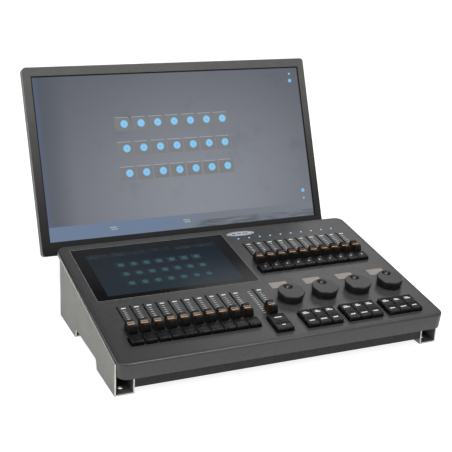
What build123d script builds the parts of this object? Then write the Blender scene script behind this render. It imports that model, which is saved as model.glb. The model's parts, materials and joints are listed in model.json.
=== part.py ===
from build123d import *
from math import cos, radians, tan
import os

# Lighting control desk with a tilting monitor behind it.
# X runs left to right, Y front to back, Z up; millimetres.
# "u, v, w" are deck coordinates: u from the left side, v up the slope, w out of the deck.

# Overall size
WIDTH = 529.0
DECK_SLOPE = 8.6
DECK_LENGTH = 335.8
DECK_FRONT_Y = -14.7
DECK_FRONT_Z = 53.2
ORIGIN_Y = 262.9
SHEET = 2.0
GAP = 0.3

# Side legs
LEG_DEPTH = 283.4
LEG_FRONT_TOP = 48.4
LEG_REAR_TOP = 95.6
FRONT_FOOT_END = 83.6
REAR_FOOT_START = 197.1
CUTOUT_HEIGHT = 15.0
FOOT_WIDTH = 29.0
FOOT_WALL_HEIGHT = 29.0
LEG_SCREW_Z = 21.0
LEG_SCREW_YS = (22.0, 62.0, 219.0, 260.0)

# Base pan and rear panel
PAN_FRONT_Y = 1.0
PAN_BOTTOM_Z = 8.8
PAN_SHEET = 1.5
PAN_TOP_W = -6.0
REAR_SHEET = 1.2
REAR_TOP_W = -8.5

# Deck cover
COVER_LEFT = SHEET + GAP
COVER_RADIUS = 15.0
SKIRT_HEIGHT = 25.0
REAR_LIP_HEIGHT = 8.0
EDGE_RADIUS = 3.0

# Faders
PITCH = 20.0
LOWER_FADER_U = 42.6
MASTER_FADER_U = LOWER_FADER_U + 11 * PITCH
UPPER_FADER_U = 308.7
LOWER_SLOT_V = 70.0
UPPER_SLOT_V = 210.5
SLOT_LENGTH = 71.0
SLOT_WIDTH = 3.0
STEM_LENGTH = 7.0
STEM_WIDTH = 1.6
TRACK_LENGTH = 86.0
TRACK_WIDTH = 13.0
TRACK_BOTTOM_W = -13.4
CAP_WIDTH = 13.4
CAP_TOP_WIDTH = 10.0
CAP_LENGTH = 22.0
CAP_BASE_W = 1.2
CAP_WAIST_W = 6.0
CAP_TOP_W = 15.8

# Keys
KEY_TOP_W = 6.5
KEY_BASE_W = -1.4
KEY_STEM_W = -7.2
KEY_LENGTH = 19.0
KEY_WIDTH = 18.6
OPENING_MARGIN = 1.6
LOWER_FLASH_V = 50.3
UPPER_FLASH_V = 192.3
FUNCTION_BANK_US = (298.8, 368.8, 438.8)
FUNCTION_VS = (29.0, 49.0)
TRANSPORT_U = 261.8
TRANSPORT_WIDTH = 27.0

# Dials
DIAL_US = (309.8, 369.3, 428.8, 488.3)
DIAL_V = 102.0
DIAL_RADIUS = 21.2
DIAL_BASE_W = 1.4
DIAL_TOP_W = 14.0
SHAFT_RADIUS = 3.0
SHAFT_CLEARANCE = 0.05

# Touch screen
GLASS_U = (21.5, 284.8)
GLASS_V = (162.3, 318.4)
ACTIVE_CENTRE = (151.5, 235.6)

# Monitor and stand
MONITOR_WIDTH = 535.2
MONITOR_HEIGHT = 321.4
MONITOR_TILT = 22.7
MONITOR_FRONT_Y = 380.7
MONITOR_BOTTOM_Z = 63.8
SIDE_BEZEL = 13.0
BOTTOM_BEZEL = 20.4
TOP_BEZEL = 15.6
BEZEL_DEPTH = 10.0
MONITOR_CORNER = 6.0
SHELL_DEPTH = 24.0
RIM_DEPTH = 8.0
DRAW_IN = 34.0
HINGE_DEPTH = 55.0
PIN_RADIUS = 4.0
COLUMN_WIDTH = 50.0
COLUMN_DEPTH = 22.0
PLATE_THICKNESS = 4.0
PLATE_REAR_Y = 540.0

FRAME = Pos(-WIDTH / 2, -ORIGIN_Y, 0)
DECK = FRAME * Pos(0, DECK_FRONT_Y, DECK_FRONT_Z) * Rot(DECK_SLOPE, 0, 0)
MONITOR = FRAME * Pos(WIDTH / 2, MONITOR_FRONT_Y, MONITOR_BOTTOM_Z) * Rot(-MONITOR_TILT, 0, 0)
HINGE_Z = MONITOR_HEIGHT / 2


def block(x_range, y_range, z_range):
    """A box between two corners."""
    size = [high - low for low, high in (x_range, y_range, z_range)]
    middle = [(high + low) / 2 for low, high in (x_range, y_range, z_range)]
    return Pos(*middle) * Box(*size)


def rod_z(x, y, z_range, radius):
    """A cylinder standing along Z."""
    return Pos(x, y, sum(z_range) / 2) * Cylinder(radius, z_range[1] - z_range[0])


def rod_x(x_range, y, z, radius):
    """A cylinder lying along X."""
    return Pos(sum(x_range) / 2, y, z) * Rot(0, 90, 0) * Cylinder(radius, x_range[1] - x_range[0])


def rod_y(x, y_range, z, radius):
    """A cylinder lying along Y."""
    return Pos(x, sum(y_range) / 2, z) * Rot(90, 0, 0) * Cylinder(radius, y_range[1] - y_range[0])


def side_profile(points, x_range):
    """A sheet whose outline is drawn in Y and Z, between two X positions."""
    outline = Plane.YZ * make_face(Polyline(*points, close=True))
    return Pos(x_range[0], 0, 0) * extrude(outline, x_range[1] - x_range[0])


def deck_z(y, w):
    """Height of the surface w above the deck, at depth y."""
    rise = (y - DECK_FRONT_Y) * tan(radians(DECK_SLOPE))
    return DECK_FRONT_Z + rise + w / cos(radians(DECK_SLOPE))


def save(node, solids, place):
    """Write one node, whose solids are given in the frame called place."""
    shape = Compound(children=[place * solid for solid in solids]) if len(solids) > 1 else place * solids[0]
    export_step(shape, f"parts/{node}.step")


# ---- Side legs -------------------------------------------------------------

def leg(outer_x, inward):
    """One bent sheet: a tall outer wall and two U-shaped feet. inward is +1 or -1."""
    def span(near, far):
        return tuple(sorted((outer_x + inward * near, outer_x + inward * far)))

    wall = side_profile(
        [
            (0, 0),
            (FRONT_FOOT_END, 0),
            (FRONT_FOOT_END + 4, CUTOUT_HEIGHT),
            (REAR_FOOT_START - 4, CUTOUT_HEIGHT),
            (REAR_FOOT_START, 0),
            (LEG_DEPTH, 0),
            (LEG_DEPTH, LEG_REAR_TOP),
            (0, LEG_FRONT_TOP),
        ],
        span(0, SHEET),
    )
    corners = wall.edges().filter_by(Axis.X).filter_by(lambda e: abs(e.center().Z - CUTOUT_HEIGHT) < 0.1)
    result = fillet(corners, 5)
    for foot in ((0, FRONT_FOOT_END), (REAR_FOOT_START, LEG_DEPTH)):
        result += block(span(0, FOOT_WIDTH), foot, (0, SHEET))
        result += block(span(FOOT_WIDTH - SHEET, FOOT_WIDTH), foot, (0, FOOT_WALL_HEIGHT))
    for y in LEG_SCREW_YS:
        result -= rod_x(span(FOOT_WIDTH - 6, FOOT_WIDTH + 2), y, LEG_SCREW_Z, 2.1)
    result -= rod_z(outer_x + inward * 14, 18, (-1, SHEET + 1), 3.5)
    result -= rod_z(outer_x + inward * 14, LEG_DEPTH - 18, (-1, SHEET + 1), 3.5)
    return result


def leg_screw(wall_x, inward, y):
    """A pan-head screw from the foot's inner wall into the base pan."""
    head = tuple(sorted((wall_x - inward * 2.2, wall_x)))
    shank = tuple(sorted((wall_x, wall_x + inward * 7)))
    return rod_x(head, y, LEG_SCREW_Z, 3.8) + rod_x(shank, y, LEG_SCREW_Z, 2.0)


RIGHT_LEG_X = WIDTH - SHEET - 2 * GAP
LEFT_WALL_X = FOOT_WIDTH - SHEET
RIGHT_WALL_X = RIGHT_LEG_X - FOOT_WIDTH + SHEET
PAN_LEFT = FOOT_WIDTH
PAN_RIGHT = RIGHT_LEG_X - FOOT_WIDTH


# ---- Base pan and rear panel --------------------------------------------------

def base_pan():
    """An open tray with a sloping rim; the rear panel closes its back."""
    rear = LEG_DEPTH - REAR_SHEET

    def tray(inset, x_range, extra_top):
        low = PAN_BOTTOM_Z + inset
        front = PAN_FRONT_Y + inset
        return side_profile(
            [
                (front, low),
                (rear + inset, low),
                (rear + inset, deck_z(rear, PAN_TOP_W) + extra_top),
                (front, deck_z(front, PAN_TOP_W) + extra_top),
            ],
            x_range,
        )

    pan = tray(0, (PAN_LEFT, PAN_RIGHT), 0)
    pan -= tray(PAN_SHEET, (PAN_LEFT + PAN_SHEET, PAN_RIGHT - PAN_SHEET), 30)
    front_wall = (PAN_FRONT_Y, PAN_FRONT_Y + PAN_SHEET)
    pan += block((PAN_LEFT, PAN_RIGHT), front_wall, (PAN_BOTTOM_Z, deck_z(PAN_FRONT_Y, -SHEET)))
    for y in LEG_SCREW_YS:
        pan -= rod_x((PAN_LEFT - 1, PAN_LEFT + 3), y, LEG_SCREW_Z, 2.1)
        pan -= rod_x((PAN_RIGHT - 3, PAN_RIGHT + 1), y, LEG_SCREW_Z, 2.1)
    return pan


INLET_X, INLET_Z = 440.0, 52.0
SOCKET_XS, SOCKET_Z = (350.0, 392.0), 52.0
STAND_SCREW_XS, STAND_SCREW_ZS = (-40.0, 40.0), (18.0, 34.0)
PANEL_YS = (LEG_DEPTH - REAR_SHEET, LEG_DEPTH)


def rear_panel():
    """The flat back with its socket cut-outs and a row of vent slots."""
    panel = block((PAN_LEFT, PAN_RIGHT), PANEL_YS, (PAN_BOTTOM_Z, deck_z(LEG_DEPTH, REAR_TOP_W)))
    cut = (PANEL_YS[0] - 1, PANEL_YS[1] + 1)
    panel -= block((INLET_X - 14, INLET_X + 14), cut, (INLET_Z - 10.5, INLET_Z + 10.5))
    for x in SOCKET_XS:
        panel -= rod_y(x, cut, SOCKET_Z, 12.2)
    for x in STAND_SCREW_XS:
        for z in STAND_SCREW_ZS:
            panel -= rod_y(WIDTH / 2 + x, cut, z, 2.6)
    for i in range(14):
        x = 60 + i * 9
        panel -= block((x, x + 4), cut, (40, 66))
    return panel


def power_inlet():
    """A flanged three-pin mains inlet with its recess open to the back."""
    body = block((INLET_X - 13.7, INLET_X + 13.7), (LEG_DEPTH - 18, LEG_DEPTH), (INLET_Z - 10.2, INLET_Z + 10.2))
    body += block((INLET_X - 24, INLET_X + 24), (LEG_DEPTH, LEG_DEPTH + 2.4), (INLET_Z - 12.5, INLET_Z + 12.5))
    body -= block((INLET_X - 11.5, INLET_X + 11.5), (LEG_DEPTH - 15, LEG_DEPTH + 5), (INLET_Z - 8, INLET_Z + 8))
    for x, z in ((-6, -2), (0, 3), (6, -2)):
        body += block((INLET_X + x - 1, INLET_X + x + 1), (LEG_DEPTH - 17, LEG_DEPTH - 2), (INLET_Z + z - 2, INLET_Z + z + 2))
    return body


def data_socket(x):
    """A round control-data socket on a square flange, with five pins."""
    body = rod_y(x, (LEG_DEPTH - 20, LEG_DEPTH), SOCKET_Z, 11.9)
    body += block((x - 13, x + 13), (LEG_DEPTH, LEG_DEPTH + 2), (SOCKET_Z - 15.5, SOCKET_Z + 15.5))
    body -= rod_y(x, (LEG_DEPTH - 15, LEG_DEPTH + 3), SOCKET_Z, 9.5)
    for i in range(5):
        pin = Rot(0, 60 * i + 60, 0) * Pos(0, 0, 5.5)
        offset = pin.position
        body += rod_y(x + offset.X, (LEG_DEPTH - 16, LEG_DEPTH - 3), SOCKET_Z + offset.Z, 1.1)
    return body


# ---- Deck cover ----------------------------------------------------------------

def slot_cut(u, slot_v):
    """One rounded fader slot through the deck."""
    straight = SLOT_LENGTH - SLOT_WIDTH
    middle = slot_v + SLOT_LENGTH / 2
    cut = block((u - SLOT_WIDTH / 2, u + SLOT_WIDTH / 2), (middle - straight / 2, middle + straight / 2), (-5, 5))
    for end in (-1, 1):
        cut += rod_z(u, middle + end * straight / 2, (-5, 5), SLOT_WIDTH / 2)
    return cut


def key_opening(u_range, v_range):
    """A rectangular opening round a group of keys."""
    us = (u_range[0] - OPENING_MARGIN, u_range[1] + OPENING_MARGIN)
    vs = (v_range[0] - OPENING_MARGIN, v_range[1] + OPENING_MARGIN)
    return block(us, vs, (-5, 5))


def skirt_cut():
    """What is cut from the skirt behind the legs, where only a shallow lip overhangs the back."""
    low, high = -SKIRT_HEIGHT - 1, -REAR_LIP_HEIGHT
    behind = DECK_LENGTH + 5
    return side_profile([(300.5, high), (297.8, low), (behind, low), (behind, high)], (0, WIDTH + 5))


LOWER_FADER_US = [LOWER_FADER_U + i * PITCH for i in range(10)]
UPPER_FADER_US = [UPPER_FADER_U + i * PITCH for i in range(10)]
LED_V = 297.4
LED_RADIUS = 1.5


def deck_cover():
    """A pressed sheet cover: a sloping top with a skirt all round and openings for the controls."""
    u_middle = (COVER_LEFT + WIDTH) / 2
    width = WIDTH - COVER_LEFT

    def shell(inset, top_w, bottom_w, edge):
        outline = RectangleRounded(width - 2 * inset, DECK_LENGTH - 2 * inset, COVER_RADIUS - inset)
        body = Pos(u_middle, DECK_LENGTH / 2, bottom_w) * extrude(outline, top_w - bottom_w)
        return fillet(body.edges().group_by(Axis.Z)[-1], edge)

    cover = shell(0, 0, -SKIRT_HEIGHT, EDGE_RADIUS)
    cover -= shell(SHEET, -SHEET, -SKIRT_HEIGHT - 5, EDGE_RADIUS - SHEET)
    for u in LOWER_FADER_US + [MASTER_FADER_U]:
        cover -= slot_cut(u, LOWER_SLOT_V)
    for u in UPPER_FADER_US:
        cover -= slot_cut(u, UPPER_SLOT_V)
        cover -= rod_z(u, LED_V, (-5, 5), LED_RADIUS + 0.1)
    half_key = KEY_LENGTH / 2
    half_pitch = KEY_WIDTH / 2
    for us, v in ((LOWER_FADER_US, LOWER_FLASH_V), (UPPER_FADER_US, UPPER_FLASH_V)):
        cover -= key_opening((us[0] - half_pitch, us[-1] + half_pitch), (v - half_key, v + half_key))
    function_v = (FUNCTION_VS[0] - half_key, FUNCTION_VS[1] + half_key)
    for start in FUNCTION_BANK_US:
        cover -= key_opening((start + 0.7, start + 3 * PITCH - 0.7), function_v)
    half_transport = TRANSPORT_WIDTH / 2
    cover -= key_opening((TRANSPORT_U - half_transport, TRANSPORT_U + half_transport), function_v)
    for u in DIAL_US:
        cover -= rod_z(u, DIAL_V, (-5, 5), 4.0)
    cover -= block((GLASS_U[0] - 0.4, GLASS_U[1] + 0.4), (GLASS_V[0] - 0.4, GLASS_V[1] + 0.4), (-5, 5))
    return cover - skirt_cut()


# ---- Touch screen ---------------------------------------------------------------

def touch_glass():
    glass = block(GLASS_U, GLASS_V, (-1.9, -0.3))
    return fillet(glass.edges().filter_by(Axis.Z), 0.35)


def display_module():
    """The panel under the touch glass, with its driver board behind."""
    u, v = ACTIVE_CENTRE
    module = block((u - 118, u + 118), (v - 72, v + 72), (-7.5, -2.0))
    module += block((u - 50, u + 50), (v - 40, v + 20), (-10.0, -7.5))
    return module


# ---- Faders -----------------------------------------------------------------------

def fader_track(u, slot_v):
    """The fixed part of one fader: a channel that its stem runs in."""
    middle = slot_v + SLOT_LENGTH / 2
    half = TRACK_LENGTH / 2
    track = block((u - TRACK_WIDTH / 2, u + TRACK_WIDTH / 2), (middle - half, middle + half), (TRACK_BOTTOM_W, -SHEET))
    channel_v = (slot_v - 1, slot_v + SLOT_LENGTH + 1)
    track -= block((u - 2.4, u + 2.4), channel_v, (TRACK_BOTTOM_W + 1.6, -SHEET + 1))
    return track


def fader(u, slot_v):
    """One fader's moving piece at its lowest setting: a scooped, tapering cap on a flat stem."""
    v = slot_v + 0.6 + STEM_LENGTH / 2
    half = CAP_LENGTH / 2
    top_half = half - 1.6
    scoop = CAP_TOP_W - 2.8
    sketch = make_face(
        [
            Polyline((-6.0, CAP_TOP_W), (-top_half, CAP_TOP_W - 0.6), (-half, CAP_BASE_W), (half, CAP_BASE_W)),
            Polyline((half, CAP_BASE_W), (top_half, CAP_TOP_W - 0.6), (6.0, CAP_TOP_W)),
            ThreePointArc((6.0, CAP_TOP_W), (0, scoop), (-6.0, CAP_TOP_W)),
        ]
    )
    cap = Pos(u - CAP_WIDTH / 2, v, 0) * extrude(Plane.YZ * sketch, CAP_WIDTH)
    wide, narrow = CAP_WIDTH / 2, CAP_TOP_WIDTH / 2
    outline = Polyline(
        (-wide, CAP_BASE_W),
        (wide, CAP_BASE_W),
        (wide, CAP_WAIST_W),
        (narrow, CAP_TOP_W),
        (-narrow, CAP_TOP_W),
        (-wide, CAP_WAIST_W),
        close=True,
    )
    cap &= Pos(u, v + half, 0) * extrude(Plane.XZ * make_face(outline), CAP_LENGTH)
    return cap + block((u - STEM_WIDTH / 2, u + STEM_WIDTH / 2), (v - STEM_LENGTH / 2, v + STEM_LENGTH / 2), (-10, 2))


# ---- Keys ---------------------------------------------------------------------------

def key(u, v, width=KEY_WIDTH):
    """One key: a softened cap with a shallow dished top, on a stem."""
    half_u = width / 2
    half_v = KEY_LENGTH / 2
    cap = block((u - half_u, u + half_u), (v - half_v, v + half_v), (KEY_BASE_W, KEY_TOP_W))
    cap = chamfer(cap.faces().sort_by(Axis.Z)[-1].edges(), 1.4, 0.9)
    cap = fillet(cap.edges().filter_by(Axis.Z), 0.8)
    cap -= Pos(u, v, KEY_TOP_W + 39.4) * Rot(0, 90, 0) * Cylinder(40, width - 3.6)
    return cap + rod_z(u, v, (KEY_STEM_W, KEY_BASE_W + 1), 2.6)


def key_switch(u, v):
    return block((u - 3.1, u + 3.1), (v - 3.1, v + 3.1), (TRACK_BOTTOM_W, -9.5))


FUNCTION_KEYS = [[(start + 10 + i * PITCH, v) for v in FUNCTION_VS for i in range(3)] for start in FUNCTION_BANK_US]


# ---- Dials ----------------------------------------------------------------------------

def dial(u):
    """A weighty wheel on a base ring, with a finger dimple near its rear edge and a shaft below."""
    outline = Polyline(
        (0, DIAL_BASE_W),
        (DIAL_RADIUS - 1.6, DIAL_BASE_W),
        (DIAL_RADIUS - 1.2, 4.6),
        (DIAL_RADIUS - 2.2, 5.0),
        (DIAL_RADIUS - 2.2, 5.8),
        (DIAL_RADIUS - 0.8, 6.2),
        (DIAL_RADIUS, DIAL_TOP_W - 1.4),
        (DIAL_RADIUS - 1.0, DIAL_TOP_W),
        (0, DIAL_TOP_W),
        close=True,
    )
    wheel = Pos(u, DIAL_V, 0) * revolve(Plane.XZ * make_face(outline), Axis.Z)
    wheel -= Pos(u, DIAL_V + 11.6, DIAL_TOP_W + 4.0) * Sphere(8.5)
    shaft = rod_z(u, DIAL_V, (-9.0, DIAL_BASE_W + 3), SHAFT_RADIUS)
    return wheel + shaft


def encoder(u):
    """The sensor below one dial, with a bushing that its shaft turns in."""
    body = block((u - 6.5, u + 6.5), (DIAL_V - 6.5, DIAL_V + 6.5), (TRACK_BOTTOM_W, -7.0))
    body += rod_z(u, DIAL_V, (-7.0, -2.4), 4.5)
    return body - rod_z(u, DIAL_V, (-9.6, 0), SHAFT_RADIUS + SHAFT_CLEARANCE)


# ---- Boards and supply --------------------------------------------------------------------

def control_board():
    """The board under the deck that carries faders, keys and dials."""
    thickness = (TRACK_BOTTOM_W - 1.6, TRACK_BOTTOM_W)
    board = block((33, 494), (21, 152), thickness)
    return board + block((292, 494), (152, 296), thickness)


def main_board():
    """The processor board on four pillars, with its heat sink and connectors."""
    floor = PAN_BOTTOM_Z + PAN_SHEET
    board = block((60, 220), (110, 230), (floor + 6, floor + 7.6))
    for x in (66, 214):
        for y in (116, 224):
            board += rod_z(x, y, (floor, floor + 6.5), 3)
    for i in range(8):
        board += block((100 + i * 5, 102 + i * 5), (150, 190), (floor + 7, floor + 18))
    return board + block((98, 139), (150, 190), (floor + 7, floor + 10))


def power_supply():
    floor = PAN_BOTTOM_Z + PAN_SHEET
    supply = block((365, 470), (180, 245), (floor, floor + 26))
    return supply + block((375, 395), (170, 181), (floor, floor + 12))


# ---- Monitor --------------------------------------------------------------------------------

HALF_MONITOR = MONITOR_WIDTH / 2
WINDOW_X = (-HALF_MONITOR + SIDE_BEZEL, HALF_MONITOR - SIDE_BEZEL)
WINDOW_Z = (BOTTOM_BEZEL, MONITOR_HEIGHT - TOP_BEZEL)
LIP = 1.8


def monitor_outline(inset, y_range):
    """The monitor's front outline, drawn in by inset, between two depths."""
    body = block(
        (-HALF_MONITOR + inset, HALF_MONITOR - inset), y_range, (inset, MONITOR_HEIGHT - inset)
    )
    return fillet(body.edges().filter_by(Axis.Y), MONITOR_CORNER)


def monitor_bezel():
    bezel = monitor_outline(0, (0, BEZEL_DEPTH))
    bezel = fillet(bezel.faces().sort_by(Axis.Y)[0].edges(), 1.2)
    bezel -= block(WINDOW_X, (-1, BEZEL_DEPTH + 1), WINDOW_Z)
    return bezel - monitor_outline(3.0, (LIP, BEZEL_DEPTH + 1))


def monitor_panel():
    xs = (WINDOW_X[0] - 4, WINDOW_X[1] + 4)
    return block(xs, (LIP, 9.0), (WINDOW_Z[0] - 4, WINDOW_Z[1] + 4))


def shell_solid(inset, y_start, y_end):
    """A straight rim followed by a back that draws in on all four sides."""
    rim_end = BEZEL_DEPTH + RIM_DEPTH

    def section(y, draw_in):
        width = MONITOR_WIDTH - 2 * inset - 2 * draw_in
        height = MONITOR_HEIGHT - 2 * inset - 2 * draw_in
        plane = Plane(origin=(0, y, HINGE_Z), x_dir=(1, 0, 0), z_dir=(0, 1, 0))
        return plane * RectangleRounded(width, height, MONITOR_CORNER)

    rim = extrude(section(y_start, 0), rim_end - y_start)
    return rim + loft([section(rim_end, 0), section(y_end, DRAW_IN)])


def monitor_rear_shell():
    """The hollow back, bevelled all round, with vents, a socket recess and bracket holes."""
    back = BEZEL_DEPTH + SHELL_DEPTH
    shell = shell_solid(0, BEZEL_DEPTH, back)
    shell -= shell_solid(3.0, BEZEL_DEPTH - 1, back - 3)
    for i in range(24):
        x = -150 + i * 13
        shell -= block((x, x + 5), (back - 5, back + 1), (246, 266))
    shell -= block((-80, 80), (back - 5, back + 1), (52, 66))
    for x in (-50, 50):
        for z in (HINGE_Z - 50, HINGE_Z + 50):
            shell -= rod_y(x, (back - 5, back + 1), z, 2.1)
    return shell


PLATE_Y = (BEZEL_DEPTH + SHELL_DEPTH, BEZEL_DEPTH + SHELL_DEPTH + 2.5)
EAR_X = (COLUMN_WIDTH / 2 + 0.7, COLUMN_WIDTH / 2 + 3.7)


def tilt_bracket():
    """A square plate on the monitor's back with two ears for the hinge pin."""
    bracket = block((-60, 60), PLATE_Y, (HINGE_Z - 60, HINGE_Z + 60))
    bracket = fillet(bracket.edges().filter_by(Axis.Y), 8)
    for side in (-1, 1):
        ear_x = tuple(sorted((side * EAR_X[0], side * EAR_X[1])))
        ear = block(ear_x, (PLATE_Y[1] - 0.5, HINGE_DEPTH), (HINGE_Z - 11, HINGE_Z + 11))
        ear += rod_x(ear_x, HINGE_DEPTH, HINGE_Z, 11)
        bracket += ear - rod_x((-60, 60), HINGE_DEPTH, HINGE_Z, PIN_RADIUS + SHAFT_CLEARANCE)
    for x in (-50, 50):
        for z in (HINGE_Z - 50, HINGE_Z + 50):
            bracket -= rod_y(x, (PLATE_Y[0] - 1, PLATE_Y[1] + 1), z, 2.1)
    return bracket


def bracket_screw(x, z):
    """A screw from the bracket plate into the monitor's back."""
    return rod_y(x, (PLATE_Y[0] - 6, PLATE_Y[1]), z, 2.0) + rod_y(x, (PLATE_Y[1], PLATE_Y[1] + 2.4), z, 3.8)


# ---- Stand ----------------------------------------------------------------------------------------

HINGE_POINT = (FRAME.inverse() * MONITOR * Pos(0, HINGE_DEPTH, HINGE_Z)).position
COLUMN_Y = (HINGE_POINT.Y - COLUMN_DEPTH / 2, HINGE_POINT.Y + COLUMN_DEPTH / 2)
CENTRE = WIDTH / 2


def stand_plate():
    """The floor plate behind the desk, with a flange screwed to the desk's rear panel."""
    plate = block((CENTRE - 120, CENTRE + 120), (LEG_DEPTH, PLATE_REAR_Y), (0, PLATE_THICKNESS))
    plate = fillet(plate.edges().filter_by(Axis.Z).sort_by(Axis.Y)[-2:], 18)
    plate += block((CENTRE - 55, CENTRE + 55), (LEG_DEPTH, LEG_DEPTH + 3), (0, 42))
    for x in STAND_SCREW_XS:
        for z in STAND_SCREW_ZS:
            plate -= rod_y(CENTRE + x, (LEG_DEPTH - 1, LEG_DEPTH + 4), z, 2.6)
    return plate


def stand_column():
    """A rectangular post with a round head that holds the hinge pin."""
    xs = (CENTRE - COLUMN_WIDTH / 2, CENTRE + COLUMN_WIDTH / 2)
    column = block(xs, COLUMN_Y, (PLATE_THICKNESS, HINGE_POINT.Z))
    column += rod_x(xs, HINGE_POINT.Y, HINGE_POINT.Z, COLUMN_DEPTH / 2)
    inner_x = (xs[0] + 3, xs[1] - 3)
    inner_y = (COLUMN_Y[0] + 3, COLUMN_Y[1] - 3)
    column -= block(inner_x, inner_y, (PLATE_THICKNESS + 4, HINGE_POINT.Z - 14))
    return column - rod_x((xs[0] - 1, xs[1] + 1), HINGE_POINT.Y, HINGE_POINT.Z, PIN_RADIUS)


def stand_screw(x, z):
    """A screw through the flange into the rear panel."""
    y = LEG_DEPTH
    return rod_y(CENTRE + x, (y - 6, y + 3), z, 2.5) + rod_y(CENTRE + x, (y + 3, y + 6), z, 4.6)


def hinge_pin():
    return rod_x((CENTRE - 31, CENTRE + 31), HINGE_POINT.Y, HINGE_POINT.Z, PIN_RADIUS)


# ---- Write every node ---------------------------------------------------------------------------------

os.makedirs("parts", exist_ok=True)

save("leg_left", [leg(0, 1)], FRAME)
save("leg_right", [leg(RIGHT_LEG_X, -1)], FRAME)
left_screws = [leg_screw(LEFT_WALL_X, 1, y) for y in LEG_SCREW_YS]
right_screws = [leg_screw(RIGHT_WALL_X, -1, y) for y in LEG_SCREW_YS]
save("leg_screws", left_screws + right_screws, FRAME)
save("base_pan", [base_pan()], FRAME)
save("rear_panel", [rear_panel()], FRAME)
save("power_inlet", [power_inlet()], FRAME)
save("data_sockets", [data_socket(x) for x in SOCKET_XS], FRAME)
save("main_board", [main_board()], FRAME)
save("power_supply", [power_supply()], FRAME)

save("deck_cover", [deck_cover()], DECK)
save("touch_glass", [touch_glass()], DECK)
save("display_module", [display_module()], DECK)
save("control_board", [control_board()], DECK)
save("indicator_leds", [rod_z(u, LED_V, (-4, 0.6), LED_RADIUS) for u in UPPER_FADER_US], DECK)
label_v = (133.5, 150.5)
save("label_plates", [block((u - 15, u + 15), label_v, (0, 0.3)) for u in DIAL_US], DECK)

lower_tracks = [fader_track(u, LOWER_SLOT_V) for u in LOWER_FADER_US + [MASTER_FADER_U]]
save("lower_fader_tracks", lower_tracks, DECK)
save("upper_fader_tracks", [fader_track(u, UPPER_SLOT_V) for u in UPPER_FADER_US], DECK)
for number, u in enumerate(LOWER_FADER_US, start=1):
    save(f"lower_fader_{number:02d}", [fader(u, LOWER_SLOT_V)], DECK)
for number, u in enumerate(UPPER_FADER_US, start=1):
    save(f"upper_fader_{number:02d}", [fader(u, UPPER_SLOT_V)], DECK)
save("master_fader", [fader(MASTER_FADER_U, LOWER_SLOT_V)], DECK)

save("lower_flash_keys", [key(u, LOWER_FLASH_V) for u in LOWER_FADER_US], DECK)
save("upper_flash_keys", [key(u, UPPER_FLASH_V) for u in UPPER_FADER_US], DECK)
for side, places in zip(("left", "middle", "right"), FUNCTION_KEYS):
    save(f"{side}_function_keys", [key(u, v) for u, v in places], DECK)
save("front_transport_key", [key(TRANSPORT_U, FUNCTION_VS[0], TRANSPORT_WIDTH)], DECK)
save("rear_transport_key", [key(TRANSPORT_U, FUNCTION_VS[1], TRANSPORT_WIDTH)], DECK)
switch_places = [(u, LOWER_FLASH_V) for u in LOWER_FADER_US]
switch_places += [(u, UPPER_FLASH_V) for u in UPPER_FADER_US]
switch_places += [place for bank in FUNCTION_KEYS for place in bank]
switch_places += [(TRANSPORT_U, v) for v in FUNCTION_VS]
save("key_switches", [key_switch(u, v) for u, v in switch_places], DECK)

for number, u in enumerate(DIAL_US, start=1):
    save(f"dial_{number}", [dial(u)], DECK)
save("encoders", [encoder(u) for u in DIAL_US], DECK)

save("monitor_bezel", [monitor_bezel()], MONITOR)
save("monitor_panel", [monitor_panel()], MONITOR)
save("monitor_rear_shell", [monitor_rear_shell()], MONITOR)
save("tilt_bracket", [tilt_bracket()], MONITOR)
bracket_places = [(x, z) for x in (-50, 50) for z in (HINGE_Z - 50, HINGE_Z + 50)]
save("bracket_screws", [bracket_screw(x, z) for x, z in bracket_places], MONITOR)

save("stand_plate", [stand_plate()], FRAME)
save("stand_column", [stand_column()], FRAME)
save("stand_screws", [stand_screw(x, z) for x in STAND_SCREW_XS for z in STAND_SCREW_ZS], FRAME)
save("hinge_pin", [hinge_pin()], FRAME)
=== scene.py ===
import json
from math import cos, pi, radians, sin

import bmesh
import bpy
from mathutils import Matrix, Vector


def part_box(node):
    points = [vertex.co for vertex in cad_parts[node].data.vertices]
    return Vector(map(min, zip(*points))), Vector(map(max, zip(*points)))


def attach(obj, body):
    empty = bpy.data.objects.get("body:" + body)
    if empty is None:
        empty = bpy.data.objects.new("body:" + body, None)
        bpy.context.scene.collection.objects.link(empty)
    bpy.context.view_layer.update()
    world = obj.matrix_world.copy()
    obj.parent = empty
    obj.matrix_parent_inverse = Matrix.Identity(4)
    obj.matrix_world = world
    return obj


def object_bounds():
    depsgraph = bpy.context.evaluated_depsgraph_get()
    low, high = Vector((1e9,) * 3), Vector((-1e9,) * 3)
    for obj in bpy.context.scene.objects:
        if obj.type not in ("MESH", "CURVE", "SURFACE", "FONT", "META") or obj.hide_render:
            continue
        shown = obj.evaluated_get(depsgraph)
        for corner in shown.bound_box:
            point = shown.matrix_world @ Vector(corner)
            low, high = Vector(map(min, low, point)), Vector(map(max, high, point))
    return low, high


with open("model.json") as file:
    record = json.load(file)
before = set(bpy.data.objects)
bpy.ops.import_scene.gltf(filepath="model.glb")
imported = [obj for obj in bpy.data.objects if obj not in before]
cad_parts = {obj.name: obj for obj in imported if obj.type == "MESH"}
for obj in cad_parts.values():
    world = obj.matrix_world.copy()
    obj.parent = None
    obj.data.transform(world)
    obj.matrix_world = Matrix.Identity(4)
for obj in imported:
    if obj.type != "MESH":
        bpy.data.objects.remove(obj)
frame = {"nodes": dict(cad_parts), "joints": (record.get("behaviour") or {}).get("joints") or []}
CAD_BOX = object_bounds()
NODES = frame["nodes"]
JOINTS = {joint["name"]: joint for joint in frame["joints"]}
MM = 0.001
X_AXIS = Vector((1, 0, 0))
Z_AXIS = Vector((0, 0, 1))
WORLD_ORIGIN = Vector((0, 0, 0))

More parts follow.
